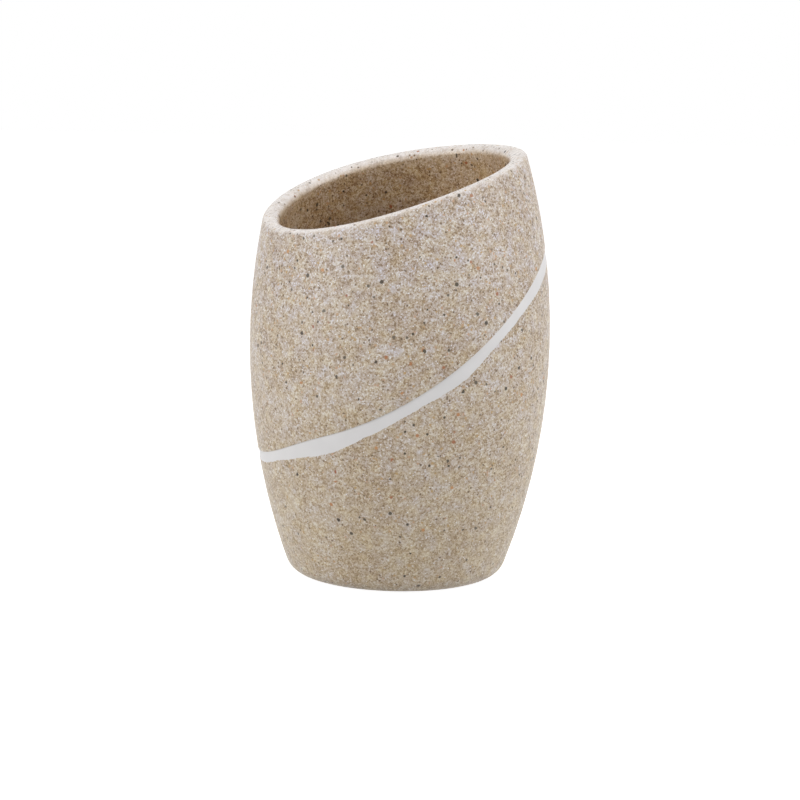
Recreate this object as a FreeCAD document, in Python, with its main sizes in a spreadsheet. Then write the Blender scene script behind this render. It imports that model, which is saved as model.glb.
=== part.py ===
"""A bathroom tumbler, in millimetres and degrees.

The cup is a barrel cast in sand and resin and cut off by a slanting, slightly crowned mouth. A white
resin line fills a groove that climbs round the outside, and a foam pad sits in a recess under the base.

The origin is the middle of the base, on the surface that the tumbler stands on. +Z is up, -Y faces the
viewer, and both the mouth and the band climb towards +X.
"""
import FreeCAD, Part
import Sketcher
import math
import os

SIZES = (
    # Barrel: heights are measured from the underside of the cup
    ("belly_diameter", 83.0),           # widest, across the outside
    ("belly_height", 65.0),             # of the widest ring
    ("side_radius", 177.0),             # of the bulging side, in section
    ("wall", 4.5),
    ("floor_thickness", 7.0),
    ("base_rounding", 6.0),             # where the side meets the base
    ("inner_rounding", 8.0),            # where the wall meets the floor, inside
    # Mouth
    ("mouth_height", 110.2),            # on the axis
    ("mouth_slope", 17.4),              # on the axis, in degrees
    ("mouth_turn", 35.0),               # of its high side, in degrees from +X towards +Y
    ("mouth_crown_radius", 390.0),      # of the cut, along its slope
    ("rim_outer_bevel", 0.5),
    ("rim_inner_bevel", 0.8),
    # Band: seen from the side that it climbs across, its upper edge is two arcs that meet left of the axis
    ("band_turn", 10.0),                # of its high side, in degrees from +X towards +Y
    ("band_depth", 1.6),                # of the groove, below the barrel's side
    ("band_recess", 0.15),              # of the white face, below the barrel's side
    ("band_bond", 0.05),                # between the band and its groove
    ("band_width", 3.6),                # upright, over most of its length
    ("band_left_width", 2.9),           # upright, at the left end
    ("band_left_height", 32.3),         # of the upper edge, at the left end
    ("band_bend_place", 25.1),          # where the two arcs meet, left of the axis
    ("band_bend_height", 43.7),
    ("band_bend_slope", 22.2),          # in degrees
    ("band_right_height", 96.9),        # of the upper edge, at the right end
    ("band_step_place", 15.5),          # where the lower edge drops to the wide stretch, left of the axis
    ("band_step_run", 7.5),
    ("band_step_drop", 4.5),
    # Pad
    ("pad_margin", 2.7),                # of flat base round its recess
    ("pad_thickness", 2.0),
    ("pad_proud", 0.5),                 # below the underside of the cup
    ("pad_clearance", 0.3),             # round its edge
    ("pad_bevel", 0.4),
    # How far a cut runs past what it cuts
    ("cut_overrun", 5.0),
)

doc = FreeCAD.newDocument("tumbler")
sheet = doc.addObject("Spreadsheet::Sheet", "sizes")
for row, (alias, value) in enumerate(SIZES, start=1):
    sheet.set(f"A{row}", alias)
    sheet.set(f"B{row}", str(value))
    sheet.setAlias(f"B{row}", alias)
doc.recompute()


def number(formula):
    """Works out a formula in the sheet's sizes."""
    return float(sheet.evalExpression(str(formula)))


# Places that several pieces share, as formulas in the sheet's sizes
BELLY = "sizes.belly_diameter / 2"
SIDE_CENTRE = f"({BELLY} - sizes.side_radius)"
BASE = "sizes.pad_proud"
BELLY_LEVEL = "(sizes.pad_proud + sizes.belly_height)"
REACH = "(sizes.belly_diameter / 2 + sizes.cut_overrun)"
BLANK_TOP = "(sizes.pad_proud + sizes.mouth_height + sizes.belly_diameter / 2 * tan(sizes.mouth_slope))"
RECESS_TOP = "sizes.pad_thickness"
FLOOR_LEVEL = "(sizes.pad_proud + sizes.floor_thickness)"


def side(level, inset="0"):
    """The radius of the barrel's side at a level, moved in by an inset."""
    return f"({SIDE_CENTRE} + sqrt((sizes.side_radius - ({inset}))^2 - ({level} - {BELLY_LEVEL})^2))"


def corner(level, inset, rounding):
    """The rounding between a flat at a level and the side, moved in by an inset: the radius where it leaves
    the flat, then the radius and the level where it meets the side."""
    flat_end = side(f"({level} + {rounding})", f"{inset} + {rounding}")
    stretch = f"((sizes.side_radius - {inset}) / (sizes.side_radius - {inset} - {rounding}))"
    side_end = f"({SIDE_CENTRE} + ({flat_end} - {SIDE_CENTRE}) * {stretch})"
    side_level = f"({BELLY_LEVEL} + ({level} + {rounding} - {BELLY_LEVEL}) * {stretch})"
    return flat_end, side_end, side_level


BASE_END, SIDE_FOOT, SIDE_FOOT_LEVEL = corner(BASE, "0", "sizes.base_rounding")
FLOOR_END, WALL_FOOT, WALL_FOOT_LEVEL = corner(FLOOR_LEVEL, "sizes.wall", "sizes.inner_rounding")
RECESS = f"({BASE_END} - sizes.pad_margin)"
PAD = f"({RECESS} - sizes.pad_clearance)"


def origin_plane(body, role):
    """Finds one of a body's own base planes."""
    return next(item for item in body.Origin.OriginFeatures if item.Role == role)


def new_body(label):
    body = doc.addObject("PartDesign::Body", label)
    body.Label = label
    return body


def new_sketch(body, name, role):
    sketch = body.newObject("Sketcher::SketchObject", name)
    sketch.AttachmentSupport = (origin_plane(body, role), [""])
    sketch.MapMode = "FlatFace"
    return sketch


def arc_between(start, end, radius, turn):
    """The shorter arc from start to end; it turns left where turn is 1 and right where it is -1."""
    chord = end - start
    middle = (start + end) * 0.5
    rise = math.sqrt(max(radius ** 2 - (chord.Length / 2) ** 2, 0))
    across = FreeCAD.Vector(-chord.y, chord.x, 0).normalize()
    centre = middle + across * rise * turn
    first, last = (start, end) if turn > 0 else (end, start)
    circle = Part.Circle(centre, FreeCAD.Vector(0, 0, 1), radius)
    angles = [math.atan2(point.y - centre.y, point.x - centre.x) for point in (first, last)]
    return Part.ArcOfCircle(circle, angles[0], angles[1])


def hold(sketch, kind, *place, formula):
    """Adds a dimension and ties it to a formula in the sheet's sizes."""
    index = sketch.addConstraint(Sketcher.Constraint(kind, *place, number(formula)))
    sketch.setExpression(f"Constraints[{index}]", formula)


def draw_outline(sketch, corners):
    """Draws a closed outline. Each corner is (x, y, edge), where edge is None for a straight run to the next
    corner and (radius, turn) for an arc. Every corner and radius is held by a formula."""
    START, END, ROOT, ROOT_POINT, UPRIGHT_AXIS = 1, 2, -1, 1, -2
    points = [FreeCAD.Vector(number(x), number(y), 0) for x, y, edge in corners]
    ends = []
    for k, (x, y, edge) in enumerate(corners):
        start, end = points[k], points[(k + 1) % len(points)]
        if edge is None:
            sketch.addGeometry(Part.LineSegment(start, end))
            ends.append((START, END))
        else:
            radius, turn = edge
            sketch.addGeometry(arc_between(start, end, number(radius), turn))
            ends.append((START, END) if turn > 0 else (END, START))
    for k, (x, y, edge) in enumerate(corners):
        following = (k + 1) % len(corners)
        sketch.addConstraint(Sketcher.Constraint("Coincident", k, ends[k][1], following, ends[following][0]))
        if x == "0":
            sketch.addConstraint(Sketcher.Constraint("PointOnObject", k, ends[k][0], UPRIGHT_AXIS))
        else:
            hold(sketch, "DistanceX", ROOT, ROOT_POINT, k, ends[k][0], formula=x)
        hold(sketch, "DistanceY", ROOT, ROOT_POINT, k, ends[k][0], formula=y)
        if edge is not None:
            hold(sketch, "Radius", k, formula=edge[0])


def revolve(body, name, corners):
    """Turns an outline in the XZ plane round the upright axis."""
    sketch = new_sketch(body, name + "_outline", "XZ_Plane")
    draw_outline(sketch, corners)
    feature = body.newObject("PartDesign::Revolution", name)
    feature.Profile = sketch
    feature.ReferenceAxis = (sketch, ["V_Axis"])
    doc.recompute()


def cut_across(body, name, corners, turn):
    """Cuts an outline out of a body from front to back, with its plane turned round the upright axis."""
    before = body.Shape.Volume
    sketch = new_sketch(body, name + "_outline", "XZ_Plane")
    upright = FreeCAD.Rotation(FreeCAD.Vector(0, 1, 0), 1)
    sketch.AttachmentOffset = FreeCAD.Placement(FreeCAD.Vector(), upright)
    sketch.setExpression("AttachmentOffset.Rotation.Angle", turn)
    draw_outline(sketch, corners)
    feature = body.newObject("PartDesign::Pocket", name)
    feature.Profile = sketch
    feature.Type = "Length"
    feature.SideType = "Symmetric"
    feature.setExpression("Length", f"2 * {REACH}")
    doc.recompute()
    if not body.Shape.Volume < before:
        raise RuntimeError(f"{name} cuts nothing")
    return feature


def bevel_edges(body, name, base, edges, size):
    """Breaks the edges of a feature."""
    chosen = [k for k, edge in enumerate(base.Shape.Edges, start=1) if any(edge.isSame(e) for e in edges)]
    feature = body.newObject("PartDesign::Chamfer", name)
    feature.Base = (base, [f"Edge{k}" for k in chosen])
    feature.setExpression("Size", size)
    doc.recompute()
    return feature


def mouth_face(shape):
    """Finds the face that the mouth's cut leaves: part of a cylinder of the crown's radius."""
    def miss(face):
        surface = face.Surface
        if not isinstance(surface, Part.Cylinder):
            return math.inf
        return abs(surface.Radius - number("sizes.mouth_crown_radius"))
    return min(shape.Faces, key=miss)


def mouth_outline():
    """What lies above the mouth, in its own plane. The arc has its given slope where it meets the axis."""
    radius = "sizes.mouth_crown_radius"
    centre_x = f"({radius} * sin(sizes.mouth_slope))"
    centre_y = f"({BASE} + sizes.mouth_height - {radius} * cos(sizes.mouth_slope))"

    def level(x):
        return f"({centre_y} + sqrt({radius}^2 - (({x}) - {centre_x})^2))"

    top = f"({BLANK_TOP} + sizes.cut_overrun)"
    return (
        (f"-{REACH}", level(f"-{REACH}"), (radius, -1)),
        (REACH, level(REACH), None),
        (REACH, top, None),
        (f"-{REACH}", top, None),
    )


def cup_blank():
    """The barrel before its groove is cut: turned, cut off at the mouth, and its rim's edges broken."""
    body = new_body("cup_blank")
    revolve(body, "barrel", (
        ("0", RECESS_TOP, None),
        (RECESS, RECESS_TOP, None),
        (RECESS, BASE, None),
        (BASE_END, BASE, ("sizes.base_rounding", 1)),
        (SIDE_FOOT, SIDE_FOOT_LEVEL, ("sizes.side_radius", 1)),
        (side(BLANK_TOP), BLANK_TOP, None),
        (side(BLANK_TOP, "sizes.wall"), BLANK_TOP, ("sizes.side_radius - sizes.wall", -1)),
        (WALL_FOOT, WALL_FOOT_LEVEL, ("sizes.inner_rounding", -1)),
        (FLOOR_END, FLOOR_LEVEL, None),
        ("0", FLOOR_LEVEL, None),
    ))
    mouth = cut_across(body, "mouth", mouth_outline(), "sizes.mouth_turn")
    outer_edges = mouth_face(mouth.Shape).OuterWire.Edges
    rim = bevel_edges(body, "rim_outside", mouth, outer_edges, "sizes.rim_outer_bevel")
    face = mouth_face(rim.Shape)
    inner_wire = next(wire for wire in face.Wires if not wire.isSame(face.OuterWire))
    bevel_edges(body, "rim_inside", rim, inner_wire.Edges, "sizes.rim_inner_bevel")
    return body


# The band's upper edge, in its own plane: two arcs with one slope where they meet
BEND_X = "(-sizes.band_bend_place)"
BEND_Y = "(sizes.pad_proud + sizes.band_bend_height)"
LEFT_Y = "(sizes.pad_proud + sizes.band_left_height)"
RIGHT_Y = "(sizes.pad_proud + sizes.band_right_height)"


def off_slope(x, y):
    """How far a point lies above the line through the bend at the arcs' shared slope."""
    return f"(({y} - {BEND_Y}) * cos(sizes.band_bend_slope) - ({x} - {BEND_X}) * sin(sizes.band_bend_slope))"


def band_arc(x, y):
    """The arc that leaves the bend at the shared slope and ends at a point: its radius, and which way it
    turns on the way from left to right."""
    offset = off_slope(x, y)
    radius = f"abs((({x} - {BEND_X})^2 + ({y} - {BEND_Y})^2) / 2 / {offset})"
    return radius, int(math.copysign(1, number(offset)))


def upper_edge(x):
    """The level of the upper edge on its right-hand arc."""
    radius, turn = band_arc(BELLY, RIGHT_Y)
    centre_x = f"({BEND_X} - {turn} * {radius} * sin(sizes.band_bend_slope))"
    centre_y = f"({BEND_Y} + {turn} * {radius} * cos(sizes.band_bend_slope))"
    return f"({centre_y} - {turn} * sqrt({radius}^2 - ({x} - {centre_x})^2))"


def above_band(spare):
    """What lies above the band's upper edge, which is moved up by a spare width."""
    top = f"({BLANK_TOP} + sizes.cut_overrun)"
    left, right = f"({LEFT_Y} + {spare})", f"({RIGHT_Y} + {spare})"
    return (
        (f"-{REACH}", left, None),
        (f"-{BELLY}", left, band_arc(f"(-{BELLY})", LEFT_Y)),
        (BEND_X, f"({BEND_Y} + {spare})", band_arc(BELLY, RIGHT_Y)),
        (BELLY, right, None),
        (REACH, right, None),
        (REACH, top, None),
        (f"-{REACH}", top, None),
    )


def below_band(spare):
    """What lies below the band's lower edge, which is moved down by a spare width: a wide stretch on the
    left, then a step up to the band's usual width."""
    step_x = "(-sizes.band_step_place)"
    step_y = f"({upper_edge(step_x)} - sizes.band_width - {spare})"
    wide_x = f"({step_x} - sizes.band_step_run)"
    wide_y = f"({step_y} - sizes.band_step_drop)"
    left = f"({LEFT_Y} - sizes.band_left_width - {spare})"
    right = f"({RIGHT_Y} - sizes.band_width - {spare})"
    bottom = f"({BASE} - sizes.cut_overrun)"
    return (
        (f"-{REACH}", bottom, None),
        (REACH, bottom, None),
        (REACH, right, None),
        (BELLY, right, reversed_arc(band_arc(BELLY, RIGHT_Y))),
        (step_x, step_y, None),
        (wide_x, wide_y, reversed_arc(band_arc(f"(-{BELLY})", LEFT_Y))),
        (f"-{BELLY}", left, None),
        (f"-{REACH}", left, None),
    )


def reversed_arc(arc):
    """The same arc, drawn from right to left."""
    radius, turn = arc
    return radius, -turn


def band_ring(label, outside, inside, spare):
    """A slanting ring that follows the barrel's side between two insets, cut to the band's edges."""
    body = new_body(label)
    top = f"({BASE} + sizes.mouth_height)"
    revolve(body, label + "_ring", (
        (side(BASE, outside), BASE, (f"(sizes.side_radius - ({outside}))", 1)),
        (side(top, outside), top, None),
        (side(top, inside), top, (f"(sizes.side_radius - ({inside}))", -1)),
        (side(BASE, inside), BASE, None),
    ))
    cut_across(body, label + "_upper_edge", above_band(spare), "sizes.band_turn")
    cut_across(body, label + "_lower_edge", below_band(spare), "sizes.band_turn")
    return body


def sand_body():
    """The cup, with the groove that the band fills."""
    floor = "sizes.band_depth + sizes.band_bond"
    groove = band_ring("groove", "-sizes.cut_overrun", floor, "sizes.band_bond")
    cup = doc.addObject("Part::Cut", "sand_body")
    cup.Base = cup_blank()
    cup.Tool = groove
    cup.Label = "sand_body"
    doc.recompute()
    return cup


def white_band():
    """The white resin line, a little below the sand round it."""
    return band_ring("white_band", "sizes.band_recess", "sizes.band_depth", "0")


def base_pad():
    """The foam disc that the tumbler stands on."""
    body = new_body("base_pad")
    revolve(body, "pad_disc", (
        ("0", "0", None),
        (f"({PAD} - sizes.pad_bevel)", "0", None),
        (PAD, "sizes.pad_bevel", None),
        (PAD, RECESS_TOP, None),
        ("0", RECESS_TOP, None),
    ))
    return body


pieces = [sand_body(), white_band(), base_pad()]
doc.recompute()

for item in doc.Objects:
    if "Invalid" in item.State or "Error" in item.State:
        raise RuntimeError(f"{item.Name} failed: {item.State}")
for piece in pieces:
    if piece.Shape.isNull() or not piece.Shape.isValid() or len(piece.Shape.Solids) != 1:
        raise RuntimeError(f"{piece.Label} is not one valid solid")

os.makedirs("parts", exist_ok=True)
for piece in pieces:
    piece.Shape.exportStep(f"parts/{piece.Label}.step")
    box = piece.Shape.BoundBox
    print(f"{piece.Label}: {piece.Shape.Volume:.0f} mm3, z {box.ZMin:.2f} to {box.ZMax:.2f}")
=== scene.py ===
"""Dresses the sand tumbler: its cast cup, the white line round it, its foam pad and a white studio."""

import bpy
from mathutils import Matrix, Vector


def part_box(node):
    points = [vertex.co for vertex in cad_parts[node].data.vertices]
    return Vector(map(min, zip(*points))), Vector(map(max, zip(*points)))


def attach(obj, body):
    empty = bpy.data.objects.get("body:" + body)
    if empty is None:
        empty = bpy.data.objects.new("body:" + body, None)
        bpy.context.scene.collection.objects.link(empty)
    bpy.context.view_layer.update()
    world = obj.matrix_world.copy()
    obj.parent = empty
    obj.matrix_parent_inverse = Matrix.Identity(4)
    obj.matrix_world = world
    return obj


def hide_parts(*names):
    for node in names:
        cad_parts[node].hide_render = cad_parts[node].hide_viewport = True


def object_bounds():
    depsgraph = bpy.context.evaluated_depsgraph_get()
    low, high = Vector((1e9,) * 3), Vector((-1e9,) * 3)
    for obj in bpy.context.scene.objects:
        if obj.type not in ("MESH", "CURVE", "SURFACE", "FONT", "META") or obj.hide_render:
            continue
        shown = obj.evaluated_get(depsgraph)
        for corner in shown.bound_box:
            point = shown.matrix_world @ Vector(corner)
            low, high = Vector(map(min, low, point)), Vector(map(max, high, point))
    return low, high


bl_info = {
    "name": "Sand Tumbler",
    "version": (1, 0, 0),
    "blender": (4, 5, 0),
    "location": "View3D > Sidebar > Tumbler",
    "description": "Builds a bathroom tumbler of cast sand with a white line round it, in a white studio",
    "category": "Add Mesh",
}

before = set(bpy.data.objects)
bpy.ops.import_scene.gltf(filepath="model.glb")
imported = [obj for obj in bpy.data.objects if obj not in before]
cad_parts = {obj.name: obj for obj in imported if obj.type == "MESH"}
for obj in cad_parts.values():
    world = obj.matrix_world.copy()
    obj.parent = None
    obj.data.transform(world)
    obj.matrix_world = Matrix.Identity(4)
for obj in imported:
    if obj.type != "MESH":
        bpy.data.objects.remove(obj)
CAD_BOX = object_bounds()

import math
from collections import namedtuple

import bpy
import numpy as np
from bpy.props import FloatProperty, FloatVectorProperty, IntProperty, PointerProperty
from mathutils import Matrix, Vector, noise

CUP_LOW, CUP_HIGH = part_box("sand_body")
PAD_LOW, PAD_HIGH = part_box("base_pad")
BODY = "root"
MM = 0.001


def length(name, description, default):
    """A size in metres that a user can change."""
    return FloatProperty(name=name, description=description, default=default, min=0.0, subtype="DISTANCE",
                         unit="LENGTH", precision=5)


def angle(name, description, degrees):
    """An angle that a user can change."""
    return FloatProperty(name=name, description=description, default=math.radians(degrees), subtype="ANGLE",
                         unit="ROTATION")


def colour(name, description, default):
    """A linear colour that a user can change."""
    return FloatVectorProperty(name=name, description=description, default=default, size=3,
                               min=0.0, max=1.0, subtype="COLOR")


def amount(name, description, default, high, unit="NONE"):
    """A number, other than a length in metres, that a user can change."""
    return FloatProperty(name=name, description=description, default=default, min=0.0, max=high, unit=unit)


class CupShape(bpy.types.PropertyGroup):
    """Sizes of the cast cup. Heights are above its underside."""
    belly_diameter: length("Belly diameter", "Widest, across the outside", CUP_HIGH.x - CUP_LOW.x)
    belly_height: length("Belly height", "Of the widest ring", 65 * MM)
    side_radius: length("Side radius", "Of the bulging side, in section", 177 * MM)
    wall: length("Wall", "Thickness of the side, at the belly", 4.5 * MM)
    inner_radius: length("Inner radius", "Of the inner side, in section", 158 * MM)
    floor: length("Floor", "Thickness of the floor", 7 * MM)
    base_rounding: length("Base rounding", "Where the side meets the base", 6 * MM)
    floor_rounding: length("Floor rounding", "Where the wall meets the floor, inside", 8 * MM)
    mouth_height: length("Mouth height", "On the axis", 110.5 * MM)
    mouth_slope: angle("Mouth slope", "On the axis", 17.35)
    mouth_turn: angle("Mouth turn", "Of the high side, from +X towards +Y", 35.8)
    mouth_crown: length("Mouth crown", "Radius of the mouth's cut, along its slope", 385 * MM)
    rim_outside: length("Rim outside", "Rounding of the rim's outer edge", 1.1 * MM)
    rim_inside: length("Rim inside", "Rounding of the rim's inner edge", 2.0 * MM)
    recess_gap: length("Recess gap", "Round the pad's edge", 0.3 * MM)
    recess_lip: length("Recess lip", "Rounding of the recess's edge", 0.4 * MM)
    segments: IntProperty(name="Segments", description="Round the axis", default=900, min=48)


class BandShape(bpy.types.PropertyGroup):
    """Sizes of the white line. Seen from the side that it climbs across, its upper edge is two arcs that
    meet left of the axis. Heights are above the cup's underside."""
    turn: angle("Turn", "Of the line's high side, from +X towards +Y", 10.0)
    bend_place: length("Bend place", "Where the two arcs meet, left of the axis", 25.1 * MM)
    bend_height: length("Bend height", "Where the two arcs meet", 43.7 * MM)
    bend_slope: angle("Bend slope", "Where the two arcs meet", 22.2)
    left_height: length("Left height", "Of the upper edge, at the left end", 32.3 * MM)
    right_height: length("Right height", "Of the upper edge, at the right end", 96.9 * MM)
    depth: length("Depth", "Of the groove, below the cup's side", 1.6 * MM)
    recess: length("Recess", "Of the white face at its upper edge, below the sand", 0.28 * MM)
    flush: length("Flush", "Of the white face at its lower edge, below the sand", 0.03 * MM)
    tuck: length("Tuck", "How far the white runs on behind the sand's edges", 0.12 * MM)
    lip: length("Lip", "Rounding of the sand's upper edge", 0.12 * MM)
    waviness: length("Waviness", "Of the lower edge, over a few millimetres", 0.18 * MM)
    raggedness: length("Raggedness", "Of the lower edge, from grain to grain", 0.22 * MM)


class PadShape(bpy.types.PropertyGroup):
    """Sizes of the foam pad."""
    diameter: length("Diameter", "Across the pad", PAD_HIGH.x - PAD_LOW.x)
    thickness: length("Thickness", "Of the pad", PAD_HIGH.z - PAD_LOW.z)
    rounding: length("Rounding", "Of the edge that it stands on", 0.4 * MM)


class Finishes(bpy.types.PropertyGroup):
    """Colours of the cast sand, the white resin and the foam, and the spacing of the grains."""
    brown: colour("Brown", "Darkest of the common grains", (0.25, 0.17, 0.10))
    tan: colour("Tan", "Grains between the pale ones", (0.46, 0.345, 0.25))
    sand: colour("Sand", "The middle tone", (0.59, 0.50, 0.425))
    pale: colour("Pale", "Milky grains", (0.685, 0.64, 0.625))
    quartz: colour("Quartz", "Clear, cool grains", (0.81, 0.79, 0.835))
    # Partly pale quartz grains, partly painted glints of light on the sand
    glint: colour("Glint", "The clearest few grains", (0.90, 0.90, 0.90))
    warm: colour("Warm", "Tint of the warmer patches", (1.0, 0.968, 0.82))
    cool: colour("Cool", "Tint of the cooler patches", (0.93, 0.935, 1.0))
    fines: colour("Fines", "The finest sand, which settles low in the mould", (0.57, 0.475, 0.37))
    loam: colour("Loam", "Tint of the sand low in the mould", (1.0, 0.975, 0.87))
    pink: colour("Pink", "Faint, warm grains", (0.55, 0.36, 0.25))
    ochre: colour("Ochre", "Yellow-brown grains", (0.50, 0.34, 0.15))
    orange: colour("Orange", "The brightest few grains", (0.56, 0.29, 0.12))
    rust: colour("Rust", "Red-brown grains", (0.33, 0.12, 0.065))
    umber: colour("Umber", "Dark brown grains", (0.15, 0.102, 0.06))
    slate: colour("Slate", "Darkest of the few dark grains", (0.042, 0.027, 0.013))
    flint: colour("Flint", "Palest of the few dark grains", (0.15, 0.125, 0.09))
    # Painted sheen, partly the haze of sanding: it whitens the rim as light glancing off it would
    sanding_and_sheen: colour("Sanded", "Haze over the sanded rim", (0.89, 0.835, 0.80))
    # Painted shade: this darkens and warms the inside, where shade and warm bounce light fall; it is the
    # same resin as outside
    skin: colour("Skin", "Tint of the unsanded resin inside", (0.93, 0.80, 0.61))
    white: colour("White", "The resin of the line", (0.775, 0.762, 0.762))
    foam: colour("Foam", "The pad", (0.72, 0.72, 0.69))
    grain: length("Grain", "Spacing of the larger grains", 0.48 * MM)


class Studio(bpy.types.PropertyGroup):
    """Where the camera stands and how bright the lights are."""
    distance: length("Distance", "From the camera to the point that it aims at", 601.9 * MM)
    elevation: angle("Elevation", "Of the camera, seen from the point that it aims at", 8.63)
    roll: angle("Roll", "Of the camera, about its own axis", 1.205)
    aim: FloatVectorProperty(name="Aim", description="Point in the middle of the picture", size=3,
                             default=(0.39 * MM, 0.95 * MM, 48.73 * MM),
                             subtype="TRANSLATION", unit="LENGTH")
    lens: amount("Lens", "Focal length in millimetres", 97.1, 500.0, "CAMERA")
    ambient: amount("Ambient", "Light from all round", 0.29, 10.0)
    left: amount("Left", "Light of the tall box on the left", 4.88, 100.0, "POWER")
    right: amount("Right", "Light of the tall box on the right", 4.75, 100.0, "POWER")
    top: amount("Top", "Light of the box overhead", 1.6, 100.0, "POWER")
    front: amount("Front", "Light of the box behind the camera", 0.75, 100.0, "POWER")


class Tumbler(bpy.types.PropertyGroup):
    """Everything that a user can change on the tumbler."""
    cup: PointerProperty(name="Cup", description="Sizes of the cast cup", type=CupShape)
    band: PointerProperty(name="Band", description="Sizes of the white line", type=BandShape)
    pad: PointerProperty(name="Pad", description="Sizes of the foam pad", type=PadShape)
    finishes: PointerProperty(name="Finishes", description="Colours and grain", type=Finishes)
    studio: PointerProperty(name="Studio", description="Camera and lights", type=Studio)


# Turned meshes

SHARP_ANGLE = math.radians(40)
UP, OUTWARD, INWARD = (0.0, 1.0), (1.0, 0.0), (-1.0, 0.0)


def turns(cup):
    """The angles of the segments, from the front towards +X."""
    return np.arange(cup.segments) * (2 * math.pi / cup.segments)


def turned_mesh(name, rings, around, capped, marks=None):
    """Joins rings of (radius, level) into a mesh. A capped mesh closes at both ends on the axis, and one
    that isn't capped joins its last ring to its first. Marks are named numbers, one for each ring, that a
    material can read."""
    count = len(around)
    sine, cosine = np.sin(around), np.cos(around)
    points = []
    for radius, level in rings:
        radius, level = np.broadcast_to(radius, count), np.broadcast_to(level, count)
        points.append(np.stack((radius * sine, -radius * cosine, level), axis=1))
    spots = np.arange(count)
    following = np.roll(spots, -1)
    faces = []
    lower_rings = range(len(rings) - 1) if capped else range(len(rings))
    for ring in lower_rings:
        low, high = ring * count, (ring + 1) % len(rings) * count
        faces += np.stack((low + spots, low + following, high + following, high + spots), axis=1).tolist()
    if capped:
        first, last = len(rings) * count, len(rings) * count + 1
        points.append(np.array([(0, 0, points[0][:, 2].mean()), (0, 0, points[-1][:, 2].mean())]))
        top = (len(rings) - 1) * count
        faces += np.stack((np.full(count, first), following, spots), axis=1).tolist()
        faces += np.stack((np.full(count, last), top + spots, top + following), axis=1).tolist()
    mesh = bpy.data.meshes.new(name)
    mesh.from_pydata(np.concatenate(points).tolist(), [], faces)
    for mark, values in (marks or {}).items():
        ends = [values[0], values[-1]] if capped else []
        numbers = np.concatenate((np.repeat(values, count), ends))
        mesh.attributes.new(mark, "FLOAT", "POINT").data.foreach_set("value", numbers)
    mesh.shade_smooth()
    mesh.set_sharp_from_angle(angle=SHARP_ANGLE)
    if mesh.validate():
        raise RuntimeError(f"{name} has faces that don't hold together")
    return mesh


def steps(count):
    """Even shares from 0 to 1, both ends included."""
    return [k / (count - 1) for k in range(count)]


def rounded(corner, before, after, radius, count):
    """Rings that round a corner. before and after are the directions that lead away from it."""
    cosine = np.clip(before[0] * after[0] + before[1] * after[1], -1, 1)
    half = np.arccos(cosine) / 2
    reach = radius / np.tan(half)
    bisector = [(back + on) / (2 * np.cos(half)) for back, on in zip(before, after)]
    centre = [spot + lean * radius / np.sin(half) for spot, lean in zip(corner, bisector)]
    spoke_in = [(spot + back * reach - hub) / radius for spot, back, hub in zip(corner, before, centre)]
    spoke_out = [(spot + on * reach - hub) / radius for spot, on, hub in zip(corner, after, centre)]
    sweep = math.pi - 2 * half
    rings = []
    for share in steps(count):
        start = np.sin((1 - share) * sweep) / np.sin(sweep)
        end = np.sin(share * sweep) / np.sin(sweep)
        spokes = zip(centre, spoke_in, spoke_out)
        rings.append(tuple(hub + radius * (first * start + last * end) for hub, first, last in spokes))
    return rings


def unit(radius, level):
    """A direction in section, with a length of 1."""
    size = np.hypot(radius, level)
    return radius / size, level / size


# The barrel and its mouth

SETTLING_ROUNDS = 60


def belly_level(cup):
    """The level of the widest ring."""
    return CUP_LOW.z + cup.belly_height


def outer_bulge(cup):
    """The outer side: how far it reaches at the belly, and its radius in section."""
    return cup.belly_diameter / 2, cup.side_radius


def inner_bulge(cup):
    """The inner side, which is rounder, so the wall is thicker towards the mouth."""
    return cup.belly_diameter / 2 - cup.wall, cup.inner_radius


def side(cup, level, bulge=None):
    """The radius of the barrel's side at a level."""
    reach, radius = bulge or outer_bulge(cup)
    return reach - radius + np.sqrt(radius ** 2 - (level - belly_level(cup)) ** 2)


def side_direction(cup, level, bulge=None):
    """The direction up the barrel's side, in section."""
    _, radius = bulge or outer_bulge(cup)
    rise = level - belly_level(cup)
    return unit(-rise, np.sqrt(radius ** 2 - rise ** 2))


def side_corner(cup, level, bulge, rounding, count):
    """Rings that round the corner between a flat at a level and the side, from the flat to the side."""
    reach, radius = bulge
    centre_radius = side(cup, level + rounding, (reach - rounding, radius - rounding))
    last = math.atan2(level + rounding - belly_level(cup), centre_radius - (reach - radius))
    first = -math.pi / 2
    angles = [first + share * (last - first) for share in steps(count)]
    return [(centre_radius + rounding * math.cos(turn), level + rounding + rounding * math.sin(turn))
            for turn in angles]


def mouth_level(cup, along):
    """The level of the mouth's slanting, crowned cut, at places along its slope."""
    hub = CUP_LOW.z + cup.mouth_height - cup.mouth_crown * math.cos(cup.mouth_slope)
    return hub + np.sqrt(cup.mouth_crown ** 2 - (along - cup.mouth_crown * math.sin(cup.mouth_slope)) ** 2)


def settle(level, find):
    """Repeats a step that brings a level nearer to where two surfaces meet, until it no longer moves."""
    for _ in range(SETTLING_ROUNDS):
        level = find(level)
    return level


def mouth_edge(cup, around, bulge=None):
    """The ring where the mouth cuts the side."""
    start = np.full(len(around), CUP_LOW.z + cup.mouth_height)
    slope = np.sin(around - cup.mouth_turn)
    level = settle(start, lambda level: mouth_level(cup, side(cup, level, bulge) * slope))
    return side(cup, level, bulge), level


# The white line

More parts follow.
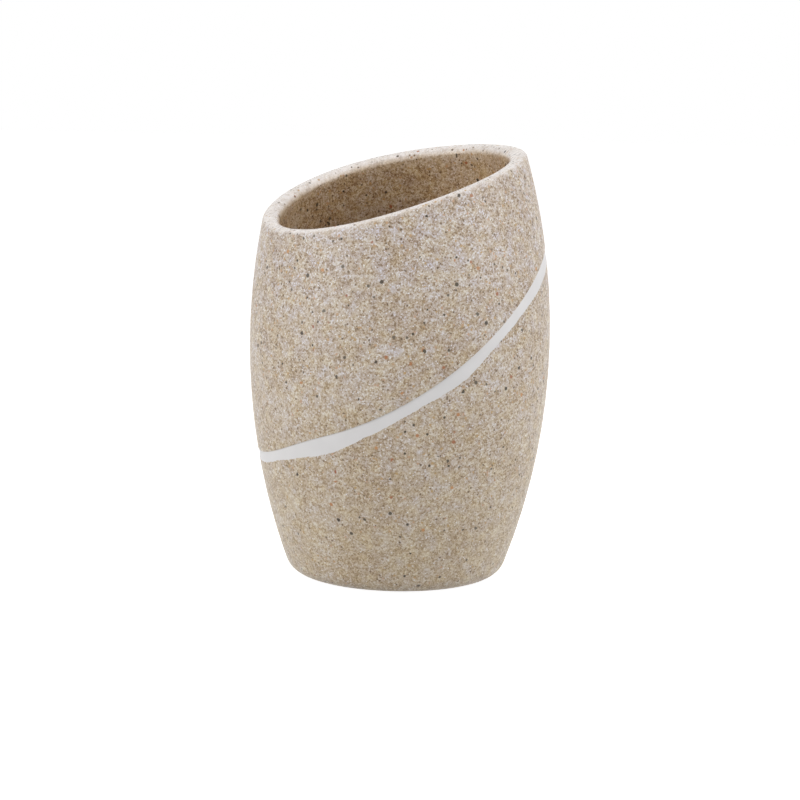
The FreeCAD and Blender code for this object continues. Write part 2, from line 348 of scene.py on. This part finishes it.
# Upright widths of the line, at places in degrees round the barrel from the front towards +X
WIDTHS = (
    (-90, 3.3 * MM), (-68, 3.4 * MM), (-54, 3.4 * MM), (-46, 4.0 * MM), (-39, 4.5 * MM), (-32, 5.1 * MM),
    (-24, 5.1 * MM), (-17, 4.5 * MM), (-12, 3.9 * MM), (-4, 3.6 * MM), (9, 3.4 * MM), (18, 4.2 * MM),
    (26, 4.8 * MM), (33, 3.8 * MM), (40, 3.5 * MM), (50, 3.7 * MM), (58, 4.3 * MM), (66, 5.0 * MM),
    (90, 5.2 * MM),
)
WAVE_PITCH, WAVE_SEED = 4 * MM, 3.1
RAGGED_PITCH, RAGGED_SEED = 0.55 * MM, 7.7


def band_arc(band, along, height):
    """Centre, radius and bend of the arc that leaves the line's bend at its slope and ends at a point."""
    run, rise = along + band.bend_place, height - band.bend_height
    sine, cosine = math.sin(band.bend_slope), math.cos(band.bend_slope)
    off = rise * cosine - run * sine
    bend = math.copysign(1, off)
    radius = (run ** 2 + rise ** 2) / 2 / abs(off)
    centre_along = -band.bend_place - bend * radius * sine
    centre_level = CUP_LOW.z + band.bend_height + bend * radius * cosine
    return (centre_along, centre_level), radius, bend


def upper_edge_level(band, cup, around, level):
    """The level of the line's upper edge where the barrel has the radius that it has at a level."""
    belly = cup.belly_diameter / 2
    along = np.clip(side(cup, level), 0, belly) * np.sin(around - band.turn)
    left = along < -band.bend_place
    edge = np.empty_like(along)
    for chosen, end, height in ((left, -belly, band.left_height), (~left, belly, band.right_height)):
        centre, radius, bend = band_arc(band, end, height)
        edge[chosen] = centre[1] - bend * np.sqrt(radius ** 2 - (along[chosen] - centre[0]) ** 2)
    return edge


def ripple(around, radius, pitch, seed):
    """Noise round a ring, about -1 to 1, that closes on itself."""
    size = radius / pitch
    places = [Vector((math.sin(turn) * size, math.cos(turn) * size, seed)) for turn in around]
    return np.array([noise.noise(place) for place in places])


def band_edges(band, cup, around):
    """Levels of the line's lower and upper edges. At the back its width changes evenly from end to end."""
    places, widths = zip(*WIDTHS)
    width = np.interp(np.degrees(around), places, widths, period=360)
    start = np.full(len(around), belly_level(cup))
    high = settle(start, lambda level: upper_edge_level(band, cup, around, level))
    low = settle(start, lambda level: upper_edge_level(band, cup, around, level) - width)
    belly = cup.belly_diameter / 2
    low += band.waviness * ripple(around, belly, WAVE_PITCH, WAVE_SEED)
    low += band.raggedness * ripple(around, belly, RAGGED_PITCH, RAGGED_SEED)
    return low, high


# Materials

# Soft changes over a surface: their scale per metre, and the values that they run between
Cloud = namedtuple("Cloud", "scale low high")
CLUMPS = Cloud(420.0, -0.12, 0.12)
PATCHES = Cloud(70.0, -0.085, 0.085)
HUES = Cloud(320.0, 0.0, 1.0)
SAND_ROUGHNESS = Cloud(900.0, 0.38, 0.5)
WHITE_TONES = Cloud(180.0, 0.0, 1.0)
WHITE_ROUGHNESS = Cloud(1500.0, 0.38, 0.5)
FOAM_ROUGHNESS = Cloud(600.0, 0.75, 0.9)
CLOUD_DETAIL = 3.0
CLOUD_LOW, CLOUD_HIGH = 0.3, 0.7

# How the grains of the sand bend, mix and settle, and how the rim differs: its sanding and a painted sheen
# whiten it
WANDER_SCALE, WANDER_REACH, WANDER_DETAIL = 1.1, 0.55, 2.0
SMALL_GRAIN_SCALE = 2.1
LARGE_SHARE, SMALL_SHARE, TONE_SHIFT = 0.6, 0.5, -0.05
TONES = ((0.1, "brown"), (0.3, "tan"), (0.55, "sand"), (0.75, "pale"), (0.92, "quartz"))
SETTLED_LOW, SETTLED_HIGH = 15 * MM, 95 * MM
FINES_SHARE = 0.2
LOW_SCATTER, HIGH_SCATTER = 0.6, 1.25
# How strong and how mottled the rim's whitening is: partly sanding, partly painted sheen
SANDING_SHEEN_SHARE, SANDING_SHEEN_MOTTLE = 0.64, 1.8
RIM_POLISH = -0.16
SAND_BUMP, SAND_RELIEF = 0.1, 0.08 * MM

# Grains scattered over the sand. A step sets each kind's packing apart. Its scale is how many cells fit in
# the larger grains' spacing, its share how many cells hold a grain, and its size a grain's radius in cells
Scatter = namedtuple("Scatter", "step scale share size stops")
SCATTERED = (
    # The palest of these grains also stand in for painted glints
    Scatter((0.61, 0.67, 0.23), 1.1, 0.039, 0.5, ((0.0, "quartz"), (1.0, "glint"))),
    Scatter((0.37, 0.11, 0.53), 0.62, 0.03, 0.6, ((0.0, "pink"), (1.0, "ochre"))),
    Scatter((0.19, 0.83, 0.41), 0.45, 0.006, 0.58, ((0.0, "rust"), (1.0, "orange"))),
    Scatter((0.53, 0.47, 0.89), 0.75, 0.0245, 0.6, ((0.0, "brown"), (1.0, "umber"))),
    Scatter((0.71, 0.29, 0.17), 0.66, 0.0085, 0.62, ((0.0, "slate"), (1.0, "flint"))),
    Scatter((0.43, 0.91, 0.67), 0.42, 0.0085, 0.58, ((0.0, "slate"), (1.0, "flint"))),
)
SOLID_SHARE = 0.65

WHITE_DARKEST, WHITE_PALEST = 0.97, 1.02
WHITE_BUMP, WHITE_RELIEF = 0.05, 0.1 * MM
PORE_SCALE, PORE_SHARE, PORE_SIZE, PORE_SHADE = 2200.0, 0.6, 0.5, 0.72
FOAM_BUMP, FOAM_RELIEF = 0.5, 0.15 * MM


def add(tree, kind, settings, inputs):
    """Adds a shader node. An input that is a socket is linked, and any other is set."""
    node = tree.nodes.new("ShaderNode" + kind)
    for name, value in settings.items():
        setattr(node, name, value)
    for name, value in inputs.items():
        if isinstance(value, bpy.types.NodeSocket):
            tree.links.new(value, node.inputs[name])
        else:
            node.inputs[name].default_value = value
    return node


def math_node(tree, operation, *values):
    """Works out a value from others."""
    return add(tree, "Math", {"operation": operation}, dict(enumerate(values))).outputs["Value"]


def mix(tree, share, under, over, blend="MIX"):
    """Lays one colour over another."""
    node = add(tree, "Mix", {"data_type": "RGBA", "blend_type": blend}, {0: share, 6: under, 7: over})
    return node.outputs[2]


def spread(tree, value, low, high, to_low, to_high, smooth=False):
    """Maps a range of values to another."""
    kind = "SMOOTHSTEP" if smooth else "LINEAR"
    node = add(tree, "MapRange", {"interpolation_type": kind},
               {"Value": value, "From Min": low, "From Max": high, "To Min": to_low, "To Max": to_high})
    return node.outputs["Result"]


def opaque(rgb):
    """A colour with full cover."""
    return (*rgb, 1.0)


def ramp(tree, value, stops):
    """Turns a value into a colour. Stops are (place, colour)."""
    node = add(tree, "ValToRGB", {}, {"Fac": value})
    elements = node.color_ramp.elements
    for place, _ in stops[2:]:
        elements.new(place)
    for element, (place, rgb) in zip(elements, stops):
        element.position = place
        element.color = opaque(rgb)
    return node.outputs["Color"]


def named_stops(finishes, stops):
    """Stops that give their colours by name, with the colours."""
    return [(place, getattr(finishes, name)) for place, name in stops]


def new_group(name, inputs, outputs):
    """A shader node group with float inputs, apart from its Vector, and float outputs."""
    group = bpy.data.node_groups.new(name, "ShaderNodeTree")
    group.interface.new_socket("Vector", in_out="INPUT", socket_type="NodeSocketVector")
    for socket in inputs:
        group.interface.new_socket(socket, in_out="INPUT", socket_type="NodeSocketFloat")
    for socket in outputs:
        group.interface.new_socket(socket, in_out="OUTPUT", socket_type="NodeSocketFloat")
    return group, group.nodes.new("NodeGroupInput").outputs, group.nodes.new("NodeGroupOutput").inputs


def grain_group():
    """Group: round grains in some cells of a random packing. Pick is a random number for each grain."""
    name = "Scattered grains"
    if name in bpy.data.node_groups:
        return bpy.data.node_groups[name]
    group, given, result = new_group(name, ("Scale", "Share", "Size"), ("Mask", "Pick"))
    cells = add(group, "TexVoronoi", {}, {"Vector": given["Vector"], "Scale": given["Scale"]})
    chance = add(group, "SeparateColor", {}, {"Color": cells.outputs["Color"]})
    chosen = math_node(group, "LESS_THAN", chance.outputs["Red"], given["Share"])
    inner = math_node(group, "MULTIPLY", given["Size"], SOLID_SHARE)
    solid = spread(group, cells.outputs["Distance"], inner, given["Size"], 1.0, 0.0, smooth=True)
    group.links.new(math_node(group, "MULTIPLY", chosen, solid), result["Mask"])
    group.links.new(chance.outputs["Green"], result["Pick"])
    return group


def cloud_group():
    """Group: soft noise between two values."""
    name = "Cloud"
    if name in bpy.data.node_groups:
        return bpy.data.node_groups[name]
    group, given, result = new_group(name, ("Scale", "Low", "High"), ("Value",))
    field = add(group, "TexNoise", {},
                {"Vector": given["Vector"], "Scale": given["Scale"], "Detail": CLOUD_DETAIL})
    value = spread(group, field.outputs["Fac"], CLOUD_LOW, CLOUD_HIGH, given["Low"], given["High"])
    group.links.new(value, result["Value"])
    return group


def place_group(tree, group, inputs):
    """Puts a node group into a material."""
    return add(tree, "Group", {"node_tree": group}, inputs).outputs


def clouds(tree, place, kind):
    """Soft changes over a surface, as a value."""
    inputs = {"Vector": place, "Scale": kind.scale, "Low": kind.low, "High": kind.high}
    return place_group(tree, cloud_group(), inputs)["Value"]


def add_bumps(tree, shader, height, strength, depth, invert=False):
    """Lets a height show on the shader's surface as fine bumps."""
    bump = add(tree, "Bump", {"invert": invert},
               {"Height": height, "Strength": strength, "Distance": depth})
    tree.links.new(bump.outputs["Normal"], shader.inputs["Normal"])


def emptied_tree(owner):
    """The node tree of a material or a world, with nothing in it."""
    owner.use_nodes = True
    owner.node_tree.nodes.clear()
    return owner.node_tree


def new_material(name):
    """A material with its node tree, its Principled shader and the place on the object."""
    material = bpy.data.materials.new(name)
    tree = emptied_tree(material)
    shader = add(tree, "BsdfPrincipled", {}, {})
    add(tree, "OutputMaterial", {}, {"Surface": shader.outputs["BSDF"]})
    place = add(tree, "TexCoord", {}, {}).outputs["Object"]
    return material, tree, shader, place


def sand_material(finishes):
    """Sand bound in resin: pale quartz and tan grains, and a few pink, orange, rust and dark ones, with
    painted sheen over the rim and painted shade inside.
    """
    material, tree, shader, place = new_material("Cast sand")
    pitch = 1 / finishes.grain
    wander = add(tree, "TexNoise", {},
                 {"Vector": place, "Scale": WANDER_SCALE * pitch, "Detail": WANDER_DETAIL})
    offset = add(tree, "VectorMath", {"operation": "SCALE"},
                 {0: wander.outputs["Color"], "Scale": WANDER_REACH * finishes.grain})
    bent = add(tree, "VectorMath", {"operation": "ADD"}, {0: place, 1: offset.outputs[0]}).outputs[0]

    large = add(tree, "TexVoronoi", {}, {"Vector": bent, "Scale": pitch})
    small = add(tree, "TexVoronoi", {}, {"Vector": bent, "Scale": SMALL_GRAIN_SCALE * pitch})
    large_pick = add(tree, "SeparateColor", {}, {"Color": large.outputs["Color"]}).outputs["Green"]
    small_pick = add(tree, "SeparateColor", {}, {"Color": small.outputs["Color"]}).outputs["Blue"]
    clump = clouds(tree, place, CLUMPS)
    patch = clouds(tree, place, PATCHES)
    tone = math_node(tree, "MULTIPLY_ADD", small_pick, SMALL_SHARE, TONE_SHIFT)
    tone = math_node(tree, "MULTIPLY_ADD", large_pick, LARGE_SHARE, tone)
    tone = math_node(tree, "ADD", tone, math_node(tree, "ADD", clump, patch))
    colours = ramp(tree, tone, named_stops(finishes, TONES))

    hue = clouds(tree, place, HUES)
    tint = ramp(tree, hue, ((0.0, finishes.warm), (1.0, finishes.cool)))
    colours = mix(tree, 1.0, colours, tint, blend="MULTIPLY")

    height = add(tree, "SeparateXYZ", {}, {"Vector": place}).outputs["Z"]
    settled = spread(tree, height, SETTLED_LOW, SETTLED_HIGH, 1.0, 0.0)
    colours = mix(tree, math_node(tree, "MULTIPLY", settled, FINES_SHARE), colours, opaque(finishes.fines))
    colours = mix(tree, settled, colours, opaque(finishes.loam), blend="MULTIPLY")

    # Painted sheen: the rim's marks whiten it, partly for its sanding and partly for the sheen of light on
    # it
    rim = add(tree, "Attribute", {"attribute_name": "rim"}, {}).outputs["Fac"]
    sanding_sheen = math_node(tree, "MULTIPLY_ADD", clump, SANDING_SHEEN_MOTTLE, SANDING_SHEEN_SHARE)
    colours = mix(tree, math_node(tree, "MULTIPLY", rim, sanding_sheen), colours, opaque(finishes.sanding_and_sheen))

    scatter = spread(tree, height, SETTLED_LOW, SETTLED_HIGH, LOW_SCATTER, HIGH_SCATTER)
    for kind in SCATTERED:
        moved = add(tree, "VectorMath", {"operation": "ADD"}, {0: bent, 1: kind.step}).outputs[0]
        chance = math_node(tree, "MULTIPLY", scatter, kind.share)
        found = place_group(tree, grain_group(), {
            "Vector": moved, "Scale": kind.scale * pitch, "Share": chance, "Size": kind.size})
        picked = ramp(tree, found["Pick"], named_stops(finishes, kind.stops))
        colours = mix(tree, found["Mask"], colours, picked)
    # Painted shade: the inside is darkened and warmed as shade and warm bounce light would make it
    inside = add(tree, "Attribute", {"attribute_name": "inside"}, {}).outputs["Fac"]
    colours = mix(tree, inside, colours, opaque(finishes.skin), blend="MULTIPLY")
    tree.links.new(colours, shader.inputs["Base Color"])

    rough = clouds(tree, place, SAND_ROUGHNESS)
    tree.links.new(math_node(tree, "MULTIPLY_ADD", rim, RIM_POLISH, rough), shader.inputs["Roughness"])
    relief = math_node(tree, "ADD", large.outputs["Distance"], small.outputs["Distance"])
    add_bumps(tree, shader, relief, SAND_BUMP, SAND_RELIEF, invert=True)
    return material


def white_material(finishes):
    """The smooth white resin of the line."""
    material, tree, shader, place = new_material("White resin")
    white = Vector(finishes.white)
    tone = clouds(tree, place, WHITE_TONES)
    colours = ramp(tree, tone, ((0.0, white * WHITE_DARKEST), (1.0, white * WHITE_PALEST)))
    tree.links.new(colours, shader.inputs["Base Color"])
    rough = clouds(tree, place, WHITE_ROUGHNESS)
    tree.links.new(rough, shader.inputs["Roughness"])
    add_bumps(tree, shader, rough, WHITE_BUMP, WHITE_RELIEF)
    return material


def foam_material(finishes):
    """Closed-cell foam with fine pores."""
    material, tree, shader, place = new_material("Pad foam")
    pores = place_group(tree, grain_group(), {
        "Vector": place, "Scale": PORE_SCALE, "Share": PORE_SHARE, "Size": PORE_SIZE})
    foam = Vector(finishes.foam)
    colours = ramp(tree, pores["Mask"], ((0.0, foam), (1.0, foam * PORE_SHADE)))
    tree.links.new(colours, shader.inputs["Base Color"])
    tree.links.new(clouds(tree, place, FOAM_ROUGHNESS), shader.inputs["Roughness"])
    add_bumps(tree, shader, pores["Mask"], FOAM_BUMP, FOAM_RELIEF, invert=True)
    return material


# Pieces

# How many rings each stretch has, how they crowd towards the rim, and how much coarser the pad is
RECESS_LIP_RINGS, BASE_RINGS, LOWER_RINGS, GROOVE_LIP_RINGS, UPPER_RINGS = 5, 10, 12, 4, 18
RIM_RINGS, INNER_RINGS, FLOOR_RINGS = 8, 20, 8
LINE_RINGS, PAD_EDGE_RINGS = 9, 6
RIM_CROWDING = 1.3
PAD_COARSENESS = 4

# Where the rings of the flats lie, as shares of their radius
ROOF_SHARES = (0.2, 0.6, 0.97)
FLOOR_SHARES = (0.66, 0.33, 0.1)
SOLE_SHARES = (0.1, 0.4, 0.7)
PAD_TOP_SHARE = 0.5

# How the rim's sanding and painted sheen come and go over its rings, and how the painted shade of the
# inside comes
SANDING_AND_SHEEN_ONSET = (0.22, 0.3, 0.4, 0.55, 0.7, 0.85)
SANDING_AND_SHEEN_FADE = (0.85, 0.5, 0.2)
# Painted shade of the inside, coming in over the rim's last rings
INSIDE_SHADE_ONSET = (0.25, 0.5, 0.75, 0.9)


def show(name, mesh, material, node):
    """Puts a mesh in the scene in place of a CAD node."""
    mesh.materials.append(material)
    piece = bpy.data.objects.new(name, mesh)
    bpy.context.scene.collection.objects.link(piece)
    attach(piece, BODY)
    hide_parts(node)
    return piece


def underside_rings(cup, pad):
    """Rings of the recess that holds the pad and of the flat round it."""
    recess = pad.diameter / 2 + cup.recess_gap
    roof = PAD_HIGH.z
    lip = rounded((recess, CUP_LOW.z), UP, OUTWARD, cup.recess_lip, RECESS_LIP_RINGS)
    return [(recess * share, roof) for share in ROOF_SHARES] + [(recess, roof)] + lip


def depth_ring(cup, level, depth):
    """The ring at a depth below the side."""
    return side(cup, level) - depth, level


def groove_rings(cup, band, low, high):
    """Rings of the groove, from the sand's ragged lower edge to its rounded upper edge."""
    bottom = depth_ring(cup, low, band.depth), depth_ring(cup, high, band.depth)
    lip = rounded((side(cup, high), high), INWARD, side_direction(cup, high), band.lip, GROOVE_LIP_RINGS)
    return [(side(cup, low), low), (side(cup, low) - band.recess, low), *bottom, *lip]


def side_rings(cup, start, end, count, bulge=None, crowding=1.0):
    """Rings along the side between two levels, without its ends. A crowding over 1 puts more of them near
    the start."""
    levels = [start + (end - start) * share ** crowding for share in steps(count)[1:-1]]
    return [(side(cup, level, bulge), level) for level in levels]


def rim_rings(cup, around):
    """Rings of the rim, from its outer rounding to its inner one."""
    outer, inner = mouth_edge(cup, around), mouth_edge(cup, around, inner_bulge(cup))
    inward = unit(inner[0] - outer[0], inner[1] - outer[1])
    outward = tuple(-part for part in inward)
    down_outside = tuple(-part for part in side_direction(cup, outer[1]))
    down_inside = tuple(-part for part in side_direction(cup, inner[1], inner_bulge(cup)))
    return (rounded(outer, down_outside, inward, cup.rim_outside, RIM_RINGS)
            + rounded(inner, outward, down_inside, cup.rim_inside, RIM_RINGS))


def outside_rings(cup, band, pad, around, rim):
    """Rings from the recess, up the side and over the groove, to the rim."""
    low, high = band_edges(band, cup, around)
    base = side_corner(cup, CUP_LOW.z, outer_bulge(cup), cup.base_rounding, BASE_RINGS)
    groove = groove_rings(cup, band, low, high)
    lower = side_rings(cup, base[-1][1], low, LOWER_RINGS)
    upper = side_rings(cup, rim[0][1], groove[-1][1], UPPER_RINGS, crowding=RIM_CROWDING)[::-1]
    return underside_rings(cup, pad) + base + lower + groove + upper


def inside_rings(cup, rim):
    """Rings from the rim, down the inner side, to the middle of the floor."""
    floor = side_corner(cup, CUP_LOW.z + cup.floor, inner_bulge(cup), cup.floor_rounding, FLOOR_RINGS)[::-1]
    wall = side_rings(cup, rim[-1][1], floor[0][1], INNER_RINGS, inner_bulge(cup), crowding=RIM_CROWDING)
    reach, level = floor[-1]
    return wall + floor + [(reach * share, level) for share in FLOOR_SHARES]


def cup_marks(outside, rim, inside):
    """Marks that say how far each ring gets the rim's sanding and painted sheen, and how far it gets the
    inside's painted shade.
    """
    fully_sanded_and_sheened = len(rim) - len(SANDING_AND_SHEEN_ONSET) - len(SANDING_AND_SHEEN_FADE)
    sanding_and_sheen = [*SANDING_AND_SHEEN_ONSET, *[1.0] * fully_sanded_and_sheened, *SANDING_AND_SHEEN_FADE]
    inside_shaded = [*[0.0] * (len(rim) - len(INSIDE_SHADE_ONSET)), *INSIDE_SHADE_ONSET]
    return {"rim": [0.0] * len(outside) + sanding_and_sheen + [0.0] * len(inside),
            "inside": [0.0] * len(outside) + inside_shaded + [1.0] * len(inside)}


class TUMBLER_OT_sand_body(bpy.types.Operator):
    """Build the cast sand cup"""
    bl_idname = "tumbler.sand_body"
    bl_label = "Sand body"

    def execute(self, context):
        tumbler = context.scene.tumbler
        cup = tumbler.cup
        around = turns(cup)
        rim = rim_rings(cup, around)
        outside = outside_rings(cup, tumbler.band, tumbler.pad, around, rim)
        inside = inside_rings(cup, rim)
        marks = cup_marks(outside, rim, inside)
        mesh = turned_mesh("sand_cup", outside + rim + inside, around, capped=True, marks=marks)
        show("sand_cup", mesh, sand_material(tumbler.finishes), "sand_body")
        return {"FINISHED"}


class TUMBLER_OT_white_band(bpy.types.Operator):
    """Build the white line in the cup's groove"""
    bl_idname = "tumbler.white_band"
    bl_label = "White line"

    def execute(self, context):
        tumbler = context.scene.tumbler
        cup, band = tumbler.cup, tumbler.band
        around = turns(cup)
        low, high = band_edges(band, cup, around)
        low, high = low - band.tuck, high + band.tuck
        rings = []
        for share in steps(LINE_RINGS):
            level = low + (high - low) * share
            rings.append((side(cup, level) - band.flush - (band.recess - band.flush) * share, level))
        rings += [depth_ring(cup, high, band.depth), depth_ring(cup, low, band.depth)]
        mesh = turned_mesh("white_line", rings, around, capped=False)
        show("white_line", mesh, white_material(tumbler.finishes), "white_band")
        return {"FINISHED"}


class TUMBLER_OT_base_pad(bpy.types.Operator):
    """Build the foam pad under the cup"""
    bl_idname = "tumbler.base_pad"
    bl_label = "Base pad"

    def execute(self, context):
        tumbler = context.scene.tumbler
        pad = tumbler.pad
        radius = pad.diameter / 2
        bottom, top = PAD_LOW.z, PAD_LOW.z + pad.thickness
        edge = rounded((radius, bottom), INWARD, UP, pad.rounding, PAD_EDGE_RINGS)
        rings = [(radius * share, bottom) for share in SOLE_SHARES] + edge
        rings += [(radius, top), (radius * PAD_TOP_SHARE, top)]
        mesh = turned_mesh("foam_pad", rings, turns(tumbler.cup)[::PAD_COARSENESS], capped=True)
        piece = show("foam_pad", mesh, foam_material(tumbler.finishes), "base_pad")
        return {"FINISHED"}


# Studio

# The lights, each named for the setting that holds its strength, with its place, width and height in metres
Softbox = namedtuple("Softbox", "light place width height")
SOFTBOXES = (
    Softbox("left", (-0.72, -0.4, 0.28), 0.6, 0.9),
    Softbox("right", (0.73, -0.25, 0.5), 0.6, 0.9),
    Softbox("top", (0.0, 0.12, 0.85), 0.9, 0.7),
    Softbox("front", (0.0, -1.2, 0.35), 0.8, 0.6),
)
FLOOR_REACH, FLOOR_DROP = 4.0, 0.05 * MM
FLOOR_GREY, FLOOR_GLOW = (0.5, 0.5, 0.5, 1.0), 0.945
PURE_WHITE = (1.0, 1.0, 1.0, 1.0)
SENSOR_WIDTH = 36.0


def add_softbox(box, aim, strength):
    """A rectangular light that faces a point."""
    name = box.light + "_box"
    light = bpy.data.lights.new(name, "AREA")
    light.shape = "RECTANGLE"
    light.size, light.size_y = box.width, box.height
    light.energy = strength
    lamp = bpy.data.objects.new(name, light)
    lamp.location = box.place
    lamp.rotation_euler = (Vector(aim) - Vector(box.place)).to_track_quat("-Z", "Y").to_euler()
    bpy.context.scene.collection.objects.link(lamp)


def seen_directly(tree):
    """1 on rays from the camera, in mirrors and through glass, and 0 on light that bounces."""
    path = add(tree, "LightPath", {}, {})
    seen = math_node(tree, "MAXIMUM", path.outputs["Is Camera Ray"], path.outputs["Is Glossy Ray"])
    return math_node(tree, "MAXIMUM", seen, path.outputs["Is Transmission Ray"])


def white_floor():
    """A white floor, a hair below the pad, that lets the tumbler's shadow show close to it."""
    size, level = FLOOR_REACH, PAD_LOW.z - FLOOR_DROP
    mesh = bpy.data.meshes.new("floor")
    corners = [(-size, -size, level), (size, -size, level), (size, size, level), (-size, size, level)]
    mesh.from_pydata(corners, [], [(0, 1, 2, 3)])
    material = bpy.data.materials.new("Studio floor")
    tree = emptied_tree(material)
    plain = add(tree, "BsdfDiffuse", {}, {"Color": FLOOR_GREY})
    glow = add(tree, "Emission", {}, {"Color": PURE_WHITE, "Strength": FLOOR_GLOW})
    bright = add(tree, "AddShader", {}, {0: plain.outputs[0], 1: glow.outputs[0]})
    shown = add(tree, "MixShader", {}, {0: seen_directly(tree), 1: plain.outputs[0], 2: bright.outputs[0]})
    add(tree, "OutputMaterial", {}, {"Surface": shown.outputs[0]})
    mesh.materials.append(material)
    floor = bpy.data.objects.new("studio_floor", mesh)
    bpy.context.scene.collection.objects.link(floor)


def white_world(ambient):
    """A white surround that lights the tumbler softly."""
    world = bpy.data.worlds.new("Studio surround")
    tree = emptied_tree(world)
    soft = add(tree, "Background", {}, {"Color": PURE_WHITE, "Strength": ambient})
    bright = add(tree, "Background", {}, {"Color": PURE_WHITE, "Strength": 1.0})
    shown = add(tree, "MixShader", {}, {0: seen_directly(tree), 1: soft.outputs[0], 2: bright.outputs[0]})
    add(tree, "OutputWorld", {}, {"Surface": shown.outputs[0]})
    bpy.context.scene.world = world


def add_camera(studio):
    """The camera, which looks at its aim from the front and a little above."""
    lens = bpy.data.cameras.new("camera")
    lens.sensor_width = SENSOR_WIDTH
    lens.lens = studio.lens
    camera = bpy.data.objects.new("camera", lens)
    back = Vector((0.0, -math.cos(studio.elevation), math.sin(studio.elevation)))
    facing = (-back).to_track_quat("-Z", "Y").to_matrix().to_4x4()
    stand = Matrix.Translation(Vector(studio.aim) + back * studio.distance)
    camera.matrix_world = stand @ facing @ Matrix.Rotation(studio.roll, 4, "Z")
    bpy.context.scene.collection.objects.link(camera)
    bpy.context.scene.camera = camera


class TUMBLER_OT_studio(bpy.types.Operator):
    """Set up the floor, the lights and the camera"""
    bl_idname = "tumbler.studio"
    bl_label = "Studio"

    def execute(self, context):
        scene = context.scene
        studio = scene.tumbler.studio
        white_floor()
        white_world(studio.ambient)
        middle = (CAD_BOX[0] + CAD_BOX[1]) / 2
        for box in SOFTBOXES:
            add_softbox(box, middle, getattr(studio, box.light))
        add_camera(studio)
        scene.view_settings.view_transform = "Standard"
        return {"FINISHED"}


class TUMBLER_PT_parts(bpy.types.Panel):
    """Lists the tumbler's pieces and the studio"""
    bl_label = "Tumbler"
    bl_idname = "TUMBLER_PT_parts"
    bl_space_type = "VIEW_3D"
    bl_region_type = "UI"
    bl_category = "Tumbler"

    def draw(self, context):
        for operator in OPERATORS:
            self.layout.operator(operator.bl_idname)


GROUPS = (CupShape, BandShape, PadShape, Finishes, Studio, Tumbler)
OPERATORS = (TUMBLER_OT_sand_body, TUMBLER_OT_white_band, TUMBLER_OT_base_pad, TUMBLER_OT_studio)
CLASSES = GROUPS + OPERATORS + (TUMBLER_PT_parts,)


def register():
    """Makes the tumbler's settings, operators and panel known."""
    for item in CLASSES:
        bpy.utils.register_class(item)
    bpy.types.Scene.tumbler = PointerProperty(type=Tumbler)


def unregister():
    """Takes them away again."""
    del bpy.types.Scene.tumbler
    for item in reversed(CLASSES):
        bpy.utils.unregister_class(item)


def main():
    """Builds the tumbler and its studio."""
    register()
    bpy.ops.tumbler.sand_body()
    bpy.ops.tumbler.white_band()
    bpy.ops.tumbler.base_pad()
    bpy.ops.tumbler.studio()


if __name__ == "__main__":
    main()
